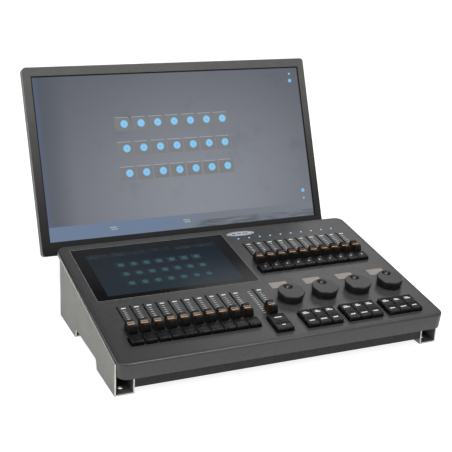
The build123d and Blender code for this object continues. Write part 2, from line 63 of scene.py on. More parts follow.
# ---- The deck's and the monitor's own coordinates ------------------------------
# On the deck, u runs from the left side, v up the slope and w out of the surface.

FADER_PITCH = 20 * MM
FADERS_IN_ROW = 10
LOWER_SLOT_V = 70 * MM
UPPER_SLOT_V = 210.5 * MM
LOWER_FADER_U = 42.6 * MM
UPPER_FADER_U = 308.7 * MM
MASTER_FADER_U = LOWER_FADER_U + 11 * FADER_PITCH
FADER_TRAVEL = 60 * MM
CAP_MIDDLE = 4.1 * MM
CAP_LINE_HALF = 5.3 * MM
CAP_SCOOP_W = 13.0 * MM
DECK_WIDTH = 529 * MM
DECK_LENGTH = 335.8 * MM
COVER_LEFT = 2.3 * MM
DIAL_V = 102 * MM
KEY_FACE_W = 5.9 * MM
UPPER_FLASH_V = 192.3 * MM
FUNCTION_VS = (29 * MM, 49 * MM)
FUNCTION_BANK_US = {"left": 298.8 * MM, "middle": 368.8 * MM, "right": 438.8 * MM}
TRANSPORT_U = 261.8 * MM
GLASS_W = -0.3 * MM
MONITOR_TILT = radians(22.7)
HINGE_DEPTH = 55 * MM
MONITOR_HEIGHT = 321.4 * MM
MONITOR_FACE = 1.8 * MM
LIT_HALF_WIDTH = 252.2 * MM
LIT_HEIGHTS = (22.8 * MM, 303.4 * MM)

UP_SLOPE = Vector(JOINTS["master_fader_slide"]["axis"]).normalized()
DECK_NORMAL = X_AXIS.cross(UP_SLOPE)
LEFT_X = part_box("leg_left")[0][0]
RIGHT_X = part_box("leg_right")[1][0]
DECK_ORIGIN = Vector(JOINTS["dial_1_spin"]["pos_m"]) - DIAL_V * UP_SLOPE
DECK_ORIGIN.x = LEFT_X
SCREEN_UP = Vector((0, sin(MONITOR_TILT), cos(MONITOR_TILT)))
SCREEN_BACK = Vector((0, cos(MONITOR_TILT), -sin(MONITOR_TILT)))
HINGE = Vector(JOINTS["monitor_tilt"]["pos_m"])
SCREEN_ORIGIN = HINGE - HINGE_DEPTH * SCREEN_BACK - MONITOR_HEIGHT / 2 * SCREEN_UP


def on_deck(u, v, w=0.0):
    """A point u from the left side, v up the slope and w above the deck."""
    return DECK_ORIGIN + u * X_AXIS + v * UP_SLOPE + w * DECK_NORMAL


def on_screen(x, height, proud=0.0):
    """A point x from the monitor's middle, height up its face, and proud of its panel."""
    behind = MONITOR_FACE - proud
    return SCREEN_ORIGIN + x * X_AXIS + height * SCREEN_UP + behind * SCREEN_BACK


# ---- Node helpers for the materials ---------------------------------------------

# A mix node has sockets for every type of data. These are the ones for colours.
MIX_COLOUR_INPUTS = (6, 7)
MIX_COLOUR_OUTPUT = 2


def scaled(colour, factor):
    return tuple(channel * factor for channel in colour)


class Shader:
    """A Principled material that is built up with a few kinds of node."""

    def __init__(self, name, roughness=0.5, metallic=0.0, specular=0.5):
        self.material = bpy.data.materials.new(name)
        self.material.use_nodes = True
        self.tree = self.material.node_tree
        self.bsdf = self.tree.nodes["Principled BSDF"]
        self.bsdf.inputs["Roughness"].default_value = roughness
        self.bsdf.inputs["Metallic"].default_value = metallic
        self.bsdf.inputs["Specular IOR Level"].default_value = specular
        self.coords = self.node("ShaderNodeTexCoord").outputs["Object"]

    def node(self, kind, **settings):
        made = self.tree.nodes.new(kind)
        for key, value in settings.items():
            setattr(made, key, value)
        return made

    def link(self, value, socket):
        """Feed a socket from another node's output, or set it to a plain value."""
        if isinstance(value, bpy.types.NodeSocket):
            self.tree.links.new(value, socket)
        else:
            socket.default_value = value

    def link_colour(self, value, socket):
        """Feed a colour socket from an output, or set it to three numbers."""
        self.link(value if isinstance(value, bpy.types.NodeSocket) else (*value, 1.0), socket)

    def math(self, operation, a, b=0.0):
        made = self.node("ShaderNodeMath", operation=operation)
        self.link(a, made.inputs[0])
        self.link(b, made.inputs[1])
        return made.outputs[0]

    def times(self, first, *others):
        """The product of all the values."""
        for other in others:
            first = self.math("MULTIPLY", first, other)
        return first

    def along(self, origin, direction):
        """Distance from origin along a direction, in metres."""
        made = self.node("ShaderNodeVectorMath", operation="DOT_PRODUCT")
        self.link(self.coords, made.inputs[0])
        made.inputs[1].default_value = direction
        return self.math("SUBTRACT", made.outputs["Value"], origin.dot(direction))

    def ramp(self, value, low, high):
        """0 at low, 1 at high, smooth between."""
        made = self.node("ShaderNodeMapRange", interpolation_type="SMOOTHSTEP")
        self.link(value, made.inputs["Value"])
        made.inputs["From Min"].default_value = low
        made.inputs["From Max"].default_value = high
        return made.outputs["Result"]

    def noise(self, size, detail=3.0, stretch=(1, 1, 1), rough=0.55):
        """Noise whose features are about size metres across."""
        mapping = self.node("ShaderNodeMapping")
        self.link(self.coords, mapping.inputs["Vector"])
        mapping.inputs["Scale"].default_value = stretch
        made = self.node("ShaderNodeTexNoise")
        self.link(mapping.outputs["Vector"], made.inputs["Vector"])
        made.inputs["Scale"].default_value = 1.0 / size
        made.inputs["Detail"].default_value = detail
        made.inputs["Roughness"].default_value = rough
        return made.outputs["Fac"]

    def mix(self, factor, a, b):
        """Colour a where factor is 0, and colour b where it is 1."""
        made = self.node("ShaderNodeMix", data_type="RGBA")
        self.link(factor, made.inputs["Factor"])
        for value, index in zip((a, b), MIX_COLOUR_INPUTS):
            self.link_colour(value, made.inputs[index])
        return made.outputs[MIX_COLOUR_OUTPUT]

    def shades(self, factor, colour, dark, light):
        """One colour, dark times as strong where factor is 0 and light times where it is 1."""
        return self.mix(factor, scaled(colour, dark), scaled(colour, light))

    def cover(self, base, colour, *masks):
        """Colour laid over base as far as the product of the masks."""
        return self.mix(self.times(*masks), base, colour)

    def edge_wear(self):
        """A mask of the convex edges, broken up by fine noise."""
        pointiness = self.node("ShaderNodeNewGeometry").outputs["Pointiness"]
        patches = self.ramp(self.noise(6 * MM, 4), 0.35, 0.7)
        return self.times(self.ramp(pointiness, 0.52, 0.60), patches)

    def colour(self, value):
        self.link_colour(value, self.bsdf.inputs["Base Color"])

    def roughness(self, factor, low, high):
        made = self.node("ShaderNodeMapRange")
        self.link(factor, made.inputs["Value"])
        made.inputs["To Min"].default_value = low
        made.inputs["To Max"].default_value = high
        self.link(made.outputs["Result"], self.bsdf.inputs["Roughness"])

    def bump(self, height, depth, strength):
        made = self.node("ShaderNodeBump")
        made.inputs["Distance"].default_value = depth
        made.inputs["Strength"].default_value = strength
        self.link(height, made.inputs["Height"])
        self.link(made.outputs["Normal"], self.bsdf.inputs["Normal"])

    def glow(self, colour, strength):
        self.link_colour(colour, self.bsdf.inputs["Emission Color"])
        self.bsdf.inputs["Emission Strength"].default_value = strength


# ---- Materials -------------------------------------------------------------------

PAINT_GRAIN = 0.7 * MM
PAINT_WEAR = 0.35
PAINT_WORN_BRIGHTNESS = 2.2
PLASTIC_GRAIN = 0.5 * MM
PLASTIC_WEAR = 0.4
PLASTIC_SMUDGE = 30 * MM
SHEET_GRAIN = 0.8 * MM


def powder_coat(name, colour, low=0.38, high=0.52, specular=0.2):
    """Finely textured paint: grain, slight clouding and faint rubbed edges."""
    shader = Shader(name, specular=specular)
    grain = shader.noise(PAINT_GRAIN, 2)
    base = shader.shades(shader.noise(60 * MM, 4), colour, 0.88, 1.12)
    base = shader.cover(base, scaled(colour, 1.3), grain, 0.35)
    worn = scaled(colour, PAINT_WORN_BRIGHTNESS)
    shader.colour(shader.cover(base, worn, shader.edge_wear(), PAINT_WEAR))
    shader.roughness(shader.noise(25 * MM, 5), low, high)
    shader.bump(grain, depth=0.04 * MM, strength=0.5)
    return shader.material


LEG_OUTSIDE = (0.172, 0.172, 0.158)
# Painted shade: the legs' inner faces are a little darker than their outsides.
LEG_SHADED_INSIDE = ((0.14, 0.14, 0.132), (0.17, 0.17, 0.16))
# Painted highlight for the sheet's cut edges, which catch the light.
LEG_CUT_HIGHLIGHT = (0.70, 0.70, 0.67)
LEG_SKIN = (0.3 * MM, 0.6 * MM)
LEG_TOP_HEIGHT = (38 * MM, 42 * MM)
LEG_FLOOR_EDGE = (2.6 * MM, 1.8 * MM)
LEG_TOP_STRENGTH = 0.35
LEG_FLOOR_FADE = 0.35
FACING = (0.8, 0.95)


def leg_inner_mask(shader):
    """1 away from both outer faces of the legs, where the inside's painted shade goes."""
    x = shader.along(Vector((LEFT_X, 0, 0)), X_AXIS)
    width = RIGHT_X - LEFT_X
    left = shader.ramp(x, *LEG_SKIN)
    right = shader.ramp(x, width - LEG_SKIN[0], width - LEG_SKIN[1])
    return shader.times(left, right)


def leg_cut_highlight_mask(shader):
    """Painted highlight on the sheet's cut edges, where they catch the light: full in front, faint
    on top, and weaker just above the floor.
    """
    split = shader.node("ShaderNodeSeparateXYZ")
    shader.link(shader.node("ShaderNodeNewGeometry").outputs["Normal"], split.inputs[0])
    height = shader.along(WORLD_ORIGIN, Z_AXIS)
    front = shader.ramp(shader.times(split.outputs["Y"], -1.0), *FACING)
    top = shader.ramp(split.outputs["Z"], *FACING)
    top = shader.times(top, shader.ramp(height, *LEG_TOP_HEIGHT), LEG_TOP_STRENGTH)
    fade = shader.times(shader.ramp(height, *LEG_FLOOR_EDGE), LEG_FLOOR_FADE)
    return shader.times(shader.math("MAXIMUM", front, top), shader.math("SUBTRACT", 1.0, fade))


def leg_sheet():
    """Grey coated sheet: paler outside, and darker inside as painted shade, with cut edges lit by
    a painted highlight.
    """
    shader = Shader("leg_sheet", specular=0.2)
    cloud = shader.noise(45 * MM, 5, (1, 1, 0.5))
    grain = shader.noise(SHEET_GRAIN, 2)
    outside = shader.shades(cloud, LEG_OUTSIDE, 0.88, 1.1)
    outside = shader.cover(outside, scaled(LEG_OUTSIDE, 0.75), grain, 0.25)
    # Painted shade: the inside colour is a little darker than the outside.
    inside = shader.mix(cloud, *LEG_SHADED_INSIDE)
    base = shader.cover(outside, inside, leg_inner_mask(shader))
    # The cut edges get a painted highlight.
    shader.colour(shader.cover(base, LEG_CUT_HIGHLIGHT, leg_cut_highlight_mask(shader)))
    shader.roughness(shader.noise(18 * MM, 5), 0.38, 0.52)
    shader.bump(grain, depth=0.04 * MM, strength=0.5)
    return shader.material


def moulded(name, colour, low=0.3, high=0.45, specular=0.3, worn_brightness=2.6):
    """Moulded plastic: a fine spark-eroded grain, fingerprints in the gloss and soft wear."""
    shader = Shader(name, specular=specular)
    smudge = shader.noise(PLASTIC_SMUDGE, 5, rough=0.5)
    base = shader.shades(smudge, colour, 0.85, 1.15)
    worn = scaled(colour, worn_brightness)
    shader.colour(shader.cover(base, worn, shader.edge_wear(), PLASTIC_WEAR))
    shader.roughness(smudge, low, high)
    shader.bump(shader.noise(PLASTIC_GRAIN, 2), depth=0.02 * MM, strength=0.25)
    return shader.material


# Painted light and shade on one plastic: near black at the frame's bottom as painted shade, lit
# grey at its top as painted light.
BEZEL_SHADED_BOTTOM = ((0.004, 0.004, 0.0045), (0.007, 0.007, 0.0075))
BEZEL_LIT_TOP = ((0.056, 0.056, 0.054), (0.074, 0.074, 0.071))
BEZEL_WORN = (0.20, 0.20, 0.19)
BEZEL_WORN_DEPTH = (12 * MM, 6 * MM)


def monitor_plastic():
    """Moulded frame with painted light: darker towards its bottom as painted shade, paler towards
    its top as painted light, with worn edges only in front.
    """
    shader = Shader("monitor_plastic", specular=0.3)
    smudge = shader.noise(PLASTIC_SMUDGE, 5, rough=0.5)
    bottom = shader.mix(smudge, *BEZEL_SHADED_BOTTOM)
    top = shader.mix(smudge, *BEZEL_LIT_TOP)
    height = shader.along(SCREEN_ORIGIN, SCREEN_UP)
    # Painted shade low down, blended into painted light high up the frame.
    base = shader.mix(shader.ramp(height, 0.0, MONITOR_HEIGHT), bottom, top)
    front = shader.ramp(shader.along(SCREEN_ORIGIN, SCREEN_BACK), *BEZEL_WORN_DEPTH)
    shader.colour(shader.cover(base, BEZEL_WORN, shader.edge_wear(), front, PLASTIC_WEAR))
    shader.roughness(smudge, 0.34, 0.5)
    shader.bump(shader.noise(PLASTIC_GRAIN, 2), depth=0.02 * MM, strength=0.25)
    return shader.material


FADER_BLACKS = ((0.0045, 0.0045, 0.0045), (0.009, 0.0075, 0.0065))
FADER_BROWN = (0.040, 0.019, 0.010)
FADER_BROWN_REACH = (8 * MM, 1.5 * MM)
FADER_BROWN_RISE = (5 * MM, 12 * MM)


def fader_plastic():
    """Near-black gloss that is warm brown round the pointer line."""
    shader = Shader("fader_plastic", specular=0.3)
    smudge = shader.noise(5 * MM, 5)
    face = shader.mix(smudge, *FADER_BLACKS)
    v = shader.along(DECK_ORIGIN, UP_SLOPE)
    from_lower, from_upper = (
        shader.math("ABSOLUTE", shader.math("SUBTRACT", v, slot_v + CAP_MIDDLE))
        for slot_v in (LOWER_SLOT_V, UPPER_SLOT_V)
    )
    near = shader.ramp(shader.math("MINIMUM", from_lower, from_upper), *FADER_BROWN_REACH)
    high = shader.ramp(shader.along(DECK_ORIGIN, DECK_NORMAL), *FADER_BROWN_RISE)
    shader.colour(shader.cover(face, FADER_BROWN, near, high))
    shader.roughness(smudge, 0.22, 0.38)
    shader.bump(shader.noise(0.6 * MM, 2), depth=0.02 * MM, strength=0.4)
    return shader.material


def brushed(name, colour):
    """Metal with fine lines that run from side to side."""
    shader = Shader(name, metallic=1.0)
    lines = shader.noise(12 * MM, 4, (1, 30, 30))
    shader.colour(shader.shades(lines, colour, 0.8, 1.1))
    shader.roughness(lines, 0.25, 0.42)
    shader.bump(lines, depth=0.02 * MM, strength=0.4)
    return shader.material


BOARD_GREENS = ((0.01, 0.07, 0.03), (0.02, 0.14, 0.06))
BOARD_PADS = (0.5, 0.42, 0.2)
BOARD_TRACK_SCALE = 90
BOARD_TRACK_GAP = 0.03


def circuit_board():
    """Green lacquer over a grid of tracks, with scattered bare pads."""
    shader = Shader("circuit_board", roughness=0.4)
    tracks = shader.node("ShaderNodeTexBrick")
    shader.link(shader.coords, tracks.inputs["Vector"])
    tracks.inputs["Scale"].default_value = BOARD_TRACK_SCALE
    tracks.inputs["Mortar Size"].default_value = BOARD_TRACK_GAP
    lacquer = shader.mix(tracks.outputs["Fac"], *BOARD_GREENS)
    pads = shader.ramp(shader.noise(3 * MM, 2), 0.62, 0.66)
    shader.colour(shader.cover(lacquer, BOARD_PADS, pads))
    shader.bump(tracks.outputs["Fac"], depth=0.05 * MM, strength=0.5)
    return shader.material


FIELD_BRIGHT_SPOT = (30 * MM, 70 * MM)
FIELD_REACH = (370 * MM, 300 * MM)
FIELD_COLOURS = ((0.250, 0.265, 0.300), (0.100, 0.108, 0.130))
FIELD_LEFT_SHADE = (0.055, 0.065, 0.095)
FIELD_LEFT_SHADE_XS = (-190 * MM, -245 * MM)
FIELD_LEFT_EDGE = (0.09, 0.13, 0.24)
FIELD_LEFT_EDGE_XS = (-240 * MM, -262 * MM)
FIELD_CLOUD = (0.05, 0.055, 0.07)
TASK_BAR_HEIGHTS = (48.5 * MM, 46.5 * MM)
TASK_BAR_COLOURS = ((0.15, 0.21, 0.32), (0.18, 0.20, 0.235))
TASK_BAR_XS = (-60 * MM, 60 * MM)
LOW_BAR = (0.085, 0.095, 0.12)
LOW_BAR_HEIGHTS = (37 * MM, 33 * MM)
LOW_BAR_XS = (0.0, 30 * MM)
LIT_EDGE = 0.2 * MM
LIT_DEPTHS = (MONITOR_FACE + 0.6 * MM, MONITOR_FACE + 0.3 * MM)
UNLIT = (0.0, 0.0, 0.0)
PANEL_BLACK = (0.010, 0.011, 0.013)


def lit_mask(shader, height):
    """1 on the lit area of the panel's front, 0 on its border and its back."""
    from_middle = shader.math("ABSOLUTE", shader.along(WORLD_ORIGIN, X_AXIS))
    depth = shader.along(SCREEN_ORIGIN, SCREEN_BACK)
    bottom, top = LIT_HEIGHTS
    return shader.times(
        shader.ramp(from_middle, LIT_HALF_WIDTH + LIT_EDGE, LIT_HALF_WIDTH),
        shader.ramp(height, bottom - LIT_EDGE, bottom),
        shader.ramp(height, top + LIT_EDGE, top),
        shader.ramp(depth, *LIT_DEPTHS),
    )


def desktop_field(shader, x, height):
    """Grey-blue, brightest low in the middle, shaded and blue-edged on the left."""
    across, up = (
        shader.math("DIVIDE", shader.math("SUBTRACT", value, middle), reach)
        for value, middle, reach in zip((x, height), FIELD_BRIGHT_SPOT, FIELD_REACH)
    )
    square = shader.math("ADD", shader.times(across, across), shader.times(up, up))
    field = shader.mix(shader.ramp(shader.math("SQRT", square), 0.0, 1.15), *FIELD_COLOURS)
    field = shader.cover(field, FIELD_LEFT_SHADE, shader.ramp(x, *FIELD_LEFT_SHADE_XS), 0.5)
    field = shader.cover(field, FIELD_LEFT_EDGE, shader.ramp(x, *FIELD_LEFT_EDGE_XS))
    cloud = shader.noise(70 * MM, 4, rough=0.6)
    return shader.cover(field, FIELD_CLOUD, shader.ramp(cloud, 0.55, 0.8), 0.25)


def monitor_picture():
    """The lit desktop: a soft field over a task bar that is streaky on its lower right."""
    shader = Shader("monitor_picture", roughness=0.3, specular=0.2)
    x = shader.along(SCREEN_ORIGIN, X_AXIS)
    height = shader.along(SCREEN_ORIGIN, SCREEN_UP)
    picture = desktop_field(shader, x, height)
    task_bar = shader.mix(shader.ramp(x, *TASK_BAR_XS), *TASK_BAR_COLOURS)
    picture = shader.cover(picture, task_bar, shader.ramp(height, *TASK_BAR_HEIGHTS))
    streak = shader.noise(30 * MM, 5, (1, 1, 14))
    picture = shader.cover(
        picture,
        LOW_BAR,
        shader.ramp(height, *LOW_BAR_HEIGHTS),
        shader.ramp(x, *LOW_BAR_XS),
        shader.ramp(streak, 0.3, 0.7),
    )
    shader.colour(PANEL_BLACK)
    shader.glow(shader.mix(lit_mask(shader, height), UNLIT, picture), 0.88)
    shader.roughness(shader.noise(25 * MM, 6, rough=0.7), 0.24, 0.42)
    shader.bump(shader.noise(0.4 * MM, 1), depth=0.01 * MM, strength=0.3)
    return shader.material


TOUCH_COLOURS = ((0.020, 0.031, 0.041), (0.0045, 0.0095, 0.016))
TOUCH_COLOUR_VS = (175 * MM, 300 * MM)
TOUCH_LEFT_SHADE = (0.018, 0.024, 0.03)
TOUCH_LEFT_SHADE_US = (170 * MM, 50 * MM)
TOUCH_STRIP = (0.035, 0.055, 0.07)
TOUCH_STRIP_VS = (286 * MM, 288 * MM)
TOUCH_BLACK = (0.003, 0.003, 0.004)


def touch_picture():
    """The dim touch display: dark blue-grey, a little lighter towards the front."""
    shader = Shader("touch_picture", roughness=0.12, specular=0.05)
    u = shader.along(DECK_ORIGIN, X_AXIS)
    v = shader.along(DECK_ORIGIN, UP_SLOPE)
    field = shader.mix(shader.ramp(v, *TOUCH_COLOUR_VS), *TOUCH_COLOURS)
    field = shader.cover(field, TOUCH_LEFT_SHADE, shader.ramp(u, *TOUCH_LEFT_SHADE_US), 0.5)
    strip = shader.ramp(v, *TOUCH_STRIP_VS)
    patches = shader.ramp(shader.noise(14 * MM, 4), 0.4, 0.7)
    field = shader.cover(field, TOUCH_STRIP, strip, patches, 0.6)
    shader.colour(TOUCH_BLACK)
    shader.glow(field, 0.9)
    shader.roughness(shader.noise(30 * MM, 6, rough=0.7), 0.10, 0.24)
    return shader.material


GLASS_BLACKS = ((0.0025, 0.0025, 0.003), (0.005, 0.005, 0.006))


def glass_black():
    """Black glass with smears in its gloss."""
    shader = Shader("glass_black", specular=0.1)
    smears = shader.noise(35 * MM, 6, rough=0.7)
    shader.colour(shader.mix(smears, *GLASS_BLACKS))
    shader.roughness(smears, 0.10, 0.24)
    return shader.material


UNLIT_SHARE = 0.3


def glowing(name, colour, rim, strength):
    """A lit mark with slightly uneven brightness."""
    shader = Shader(name, roughness=0.35, specular=0.1)
    patch = shader.noise(6 * MM, 3)
    shader.colour(shader.mix(patch, scaled(colour, UNLIT_SHARE), scaled(rim, UNLIT_SHARE)))
    shader.glow(shader.mix(patch, colour, rim), strength)
    return shader.material


def printed(name, colour, wear=0.25):
    """Printed ink, worn thin in places."""
    shader = Shader(name, roughness=0.5)
    thin = shader.noise(3 * MM, 5)
    shader.colour(shader.cover(colour, scaled(colour, 0.3), shader.ramp(thin, 0.45, 0.75), wear))
    shader.bump(thin, depth=0.01 * MM, strength=0.3)
    return shader.material


DECK_PAINT = powder_coat("deck_paint", (0.031, 0.031, 0.0312), 0.28, 0.38, specular=0.4)
PAN_PAINT = powder_coat("pan_paint", (0.017, 0.017, 0.0175))
# Painted shade for the deck's crease.
CREASE_SHADE_PAINT = powder_coat("crease_shade_paint", (0.016, 0.016, 0.0165))
STAND_PAINT = powder_coat("stand_paint", (0.020, 0.020, 0.0205))
KEY_PLASTIC = moulded(
    "key_plastic", (0.0050, 0.0050, 0.0056), 0.22, 0.36, specular=0.18, worn_brightness=22.0
)
DIAL_PLASTIC = moulded(
    "dial_plastic", (0.016, 0.016, 0.0157), 0.26, 0.38, specular=0.35, worn_brightness=4.0
)
SOCKET_PLASTIC = moulded("socket_plastic", (0.02, 0.02, 0.02), 0.4, 0.6)
LABEL_FILM = printed("label_film", (0.23, 0.206, 0.192), wear=0.3)
WHITE_INK = printed("white_ink", (0.66, 0.66, 0.66))
COPPER_INK = printed("copper_ink", (0.60, 0.34, 0.17), wear=0.15)
BADGE_SILVER = printed("badge_silver", (0.40, 0.43, 0.46), wear=0.3)
# Painted highlight for the edge of the touch glass's opening.
GLASS_EDGE_HIGHLIGHT = printed("glass_edge_highlight", (0.15, 0.15, 0.135), wear=0.3)
ZINC = brushed("zinc", (0.62, 0.62, 0.63))
TRACK_METAL = brushed("track_metal", (0.5, 0.5, 0.5))
CASE_METAL = brushed("case_metal", (0.62, 0.62, 0.64))
LED_GLOW = glowing("led_glow", (0.22, 0.46, 0.88), (0.50, 0.72, 0.95), 0.8)
ICON_GLOW = glowing("icon_glow", (0.130, 0.335, 0.545), (0.175, 0.385, 0.57), 1.0)
ICON_RING = glowing("icon_ring", (0.085, 0.135, 0.17), (0.10, 0.15, 0.19), 1.0)
ICON_CORE = glowing("icon_core", (0.235, 0.43, 0.60), (0.28, 0.47, 0.62), 1.0)
TILE_GLOW = glowing("tile_glow", (0.140, 0.138, 0.146), (0.156, 0.152, 0.153), 1.0)
CAPTION_GLOW = glowing("caption_glow", (0.26, 0.28, 0.31), (0.34, 0.36, 0.38), 1.0)
TOUCH_DOT_GLOW = glowing("touch_dot_glow", (0.022, 0.066, 0.078), (0.032, 0.084, 0.095), 0.9)
TOUCH_TILE_GLOW = glowing("touch_tile_glow", (0.012, 0.020, 0.028), (0.015, 0.023, 0.031), 0.9)


def dress(material, *names):
    """Give CAD nodes a material."""
    for name in names:
        mesh = NODES[name].data
        mesh.materials.clear()
        mesh.materials.append(material)


FADERS = [name for name in NODES if "fader_" in name + "_" and "tracks" not in name]
KEYS = [name for name in NODES if name.endswith("_keys") or name.endswith("_key")]
dress(DECK_PAINT, "deck_cover")
dress(PAN_PAINT, "base_pan", "rear_panel")
dress(leg_sheet(), "leg_left", "leg_right")
dress(ZINC, "leg_screws", "stand_screws", "hinge_pin", "bracket_screws")
dress(STAND_PAINT, "stand_plate", "stand_column", "tilt_bracket")
dress(monitor_plastic(), "monitor_bezel", "monitor_rear_shell")
dress(monitor_picture(), "monitor_panel")
dress(glass_black(), "touch_glass")
dress(TRACK_METAL, "display_module", "lower_fader_tracks", "upper_fader_tracks", "encoders")
dress(circuit_board(), "control_board", "main_board")
dress(CASE_METAL, "power_supply")
dress(SOCKET_PLASTIC, "power_inlet", "data_sockets", "key_switches")
dress(LED_GLOW, "indicator_leds")
dress(LABEL_FILM, "label_plates")
dress(fader_plastic(), *FADERS)
dress(KEY_PLASTIC, *KEYS)
dress(DIAL_PLASTIC, "dial_1", "dial_2", "dial_3", "dial_4")


# ---- Small pieces made here ---------------------------------------------------------


class Piece:
    """A mesh gathered from slabs and discs laid on the deck or on the monitor's face."""

    def __init__(self, name, material, body, slot, place):
        self.name = name
        self.material = material
        self.body = body
        self.slot = slot
        self.place = place
        self.mesh = bmesh.new()

    def prism(self, outline, low, high):
        """A closed prism over an outline of (across, along) points."""
        bottom = [self.mesh.verts.new(self.place(a, b, low)) for a, b in outline]
        top = [self.mesh.verts.new(self.place(a, b, high)) for a, b in outline]
        count = len(outline)
        self.mesh.faces.new(list(reversed(bottom)))
        self.mesh.faces.new(top)
        for i in range(count):
            j = (i + 1) % count
            self.mesh.faces.new((bottom[i], bottom[j], top[j], top[i]))

    def band(self, outer, inner, low, high):
        """A closed loop of even section between two outlines with equally many points."""
        rings = [
            [self.mesh.verts.new(self.place(a, b, level)) for a, b in outline]
            for outline, level in ((outer, low), (outer, high), (inner, high), (inner, low))
        ]
        count = len(outer)
        for side in range(len(rings)):
            near, far = rings[side], rings[(side + 1) % len(rings)]
            for i in range(count):
                j = (i + 1) % count
                self.mesh.faces.new((near[i], near[j], far[j], far[i]))

    def slab(self, across, along, low, high):
        self.prism(rectangle(across, along), low, high)

    def disc(self, a, b, radius, low, high, sides):
        self.prism(oval(a, b, radius, radius, sides), low, high)

    def done(self):
        bmesh.ops.recalc_face_normals(self.mesh, faces=self.mesh.faces)
        data = bpy.data.meshes.new(self.name)
        self.mesh.to_mesh(data)
        self.mesh.free()
        data.materials.append(self.material)
        made = bpy.data.objects.new(self.name, data)
        bpy.context.scene.collection.objects.link(made)
        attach(made, self.body)


def rectangle(across, along):
    """The corners of a rectangle, anticlockwise from its low corner."""
    (left, right), (front, rear) = across, along
    return [(left, front), (right, front), (right, rear), (left, rear)]


def oval(a, b, half_across, half_along, sides):
    """Points round an oval with its middle at (a, b)."""
    turns = [2 * pi * i / sides for i in range(sides)]
    return [(a + half_across * cos(t), b + half_along * sin(t)) for t in turns]


def fader_places():
    """(body, u, slot start) of every fader."""
    for i in range(FADERS_IN_ROW):
        yield f"lower_fader_{i + 1:02d}", LOWER_FADER_U + i * FADER_PITCH, LOWER_SLOT_V
        yield f"upper_fader_{i + 1:02d}", UPPER_FADER_U + i * FADER_PITCH, UPPER_SLOT_V
    yield "master_fader", MASTER_FADER_U, LOWER_SLOT_V


LINE_HALF_LENGTH = 0.75 * MM
LINE_HALF_RISE = 0.2 * MM


def fader_lines():
    """The copper pointer line across the bottom of each cap's scoop."""
    for body, u, slot_v in fader_places():
        v = slot_v + CAP_MIDDLE
        line = Piece(f"{body}_line", COPPER_INK, body, "fader_plastic", on_deck)
        across = (u - CAP_LINE_HALF, u + CAP_LINE_HALF)
        along = (v - LINE_HALF_LENGTH, v + LINE_HALF_LENGTH)
        line.slab(across, along, CAP_SCOOP_W - LINE_HALF_RISE, CAP_SCOOP_W + LINE_HALF_RISE)
        line.done()


INK_RISE = 0.05 * MM
TICK_STEP = FADER_TRAVEL / 11
TICK_HALF = 0.4 * MM
TICK_SPAN = (5.8 * MM, 10.6 * MM)
MASTER_TICK_SPAN = (-11.5 * MM, -6.8 * MM)
FULL_BAR_ABOVE = 1.5 * MM
FULL_BAR_HALF = 1.2 * MM
FULL_BAR_SPAN = (5.2 * MM, 12.6 * MM)


def scale_ticks():
    """White level marks right of each fader slot under a bar at full, and left of the master's."""
    marks = Piece("deck_scales", WHITE_INK, "desk", "label_film", on_deck)

    def mark(u, v, span, half):
        start, end = span
        marks.slab((u + start, u + end), (v - half, v + half), 0, INK_RISE)

    for _, u, slot_v in fader_places():
        zero = slot_v + CAP_MIDDLE
        mark(u, zero + FADER_TRAVEL + FULL_BAR_ABOVE, FULL_BAR_SPAN, FULL_BAR_HALF)
        for i in range(11):
            mark(u, zero + i * TICK_STEP, TICK_SPAN, TICK_HALF)
    for i in range(12):
        v = LOWER_SLOT_V + CAP_MIDDLE + i * TICK_STEP
        mark(MASTER_FADER_U, v, MASTER_TICK_SPAN, TICK_HALF)
    marks.done()


# Painted shade: a dark band laid in the deck's pressed crease, where shade falls.
CREASE_INSET = 5.6 * MM
CREASE_RADIUS = 9.5 * MM
CREASE_WIDTH = 0.7 * MM
CREASE_LEVELS = (-0.1 * MM, 0.03 * MM)
CREASE_CORNER_STEPS = 8


def crease_outline(grow):
    """The crease's round-cornered path, moved outwards by grow."""
    left = COVER_LEFT + CREASE_INSET + CREASE_RADIUS
    right = DECK_WIDTH - CREASE_INSET - CREASE_RADIUS
    front = CREASE_INSET + CREASE_RADIUS
    rear = DECK_LENGTH - CREASE_INSET - CREASE_RADIUS
    points = []
    for quarter, (a, b) in enumerate(((right, rear), (left, rear), (left, front), (right, front))):
        for i in range(CREASE_CORNER_STEPS + 1):
            turn = (quarter + i / CREASE_CORNER_STEPS) * pi / 2
            reach = CREASE_RADIUS + grow
            points.append((a + reach * cos(turn), b + reach * sin(turn)))
    return points


def deck_crease_shade():
    """Painted shade: a dark band in the pressed crease that follows the deck's edge, where shade
    falls.
    """
    crease = Piece("deck_crease_shade", CREASE_SHADE_PAINT, "desk", "deck_sheet", on_deck)
    half = CREASE_WIDTH / 2
    crease.band(crease_outline(half), crease_outline(-half), *CREASE_LEVELS)
    crease.done()


MARK_DEPTH = 0.2 * MM
MARK_HALVES = (4.0 * MM, 4.9 * MM)
WORD_ALONG = (-1.4 * MM, 0.7 * MM)
WORD_RISE = 0.08 * MM
SHORT_WORD_ALONG = (1.7 * MM, 3.1 * MM)
SHORT_WORD_RISE = 0.16 * MM
SHORT_WORD_SHARE = 0.4
FIRST_KEY_OFFSET = 10 * MM
TRANSPORT_MARKS = (
    ("front_transport_key", FUNCTION_VS[0], 2.6 * MM),
    ("rear_transport_key", FUNCTION_VS[1], 6 * MM),
)
TRANSPORT_MARK_HALF = 1 * MM
TRANSPORT_MARK_RISE = 0.06 * MM


def key_bar(marks, across, v, along, rise):
    """A bar sunk into the face of a key at v."""
    span = (v + along[0], v + along[1])
    marks.slab(across, span, KEY_FACE_W - MARK_DEPTH, KEY_FACE_W + rise)


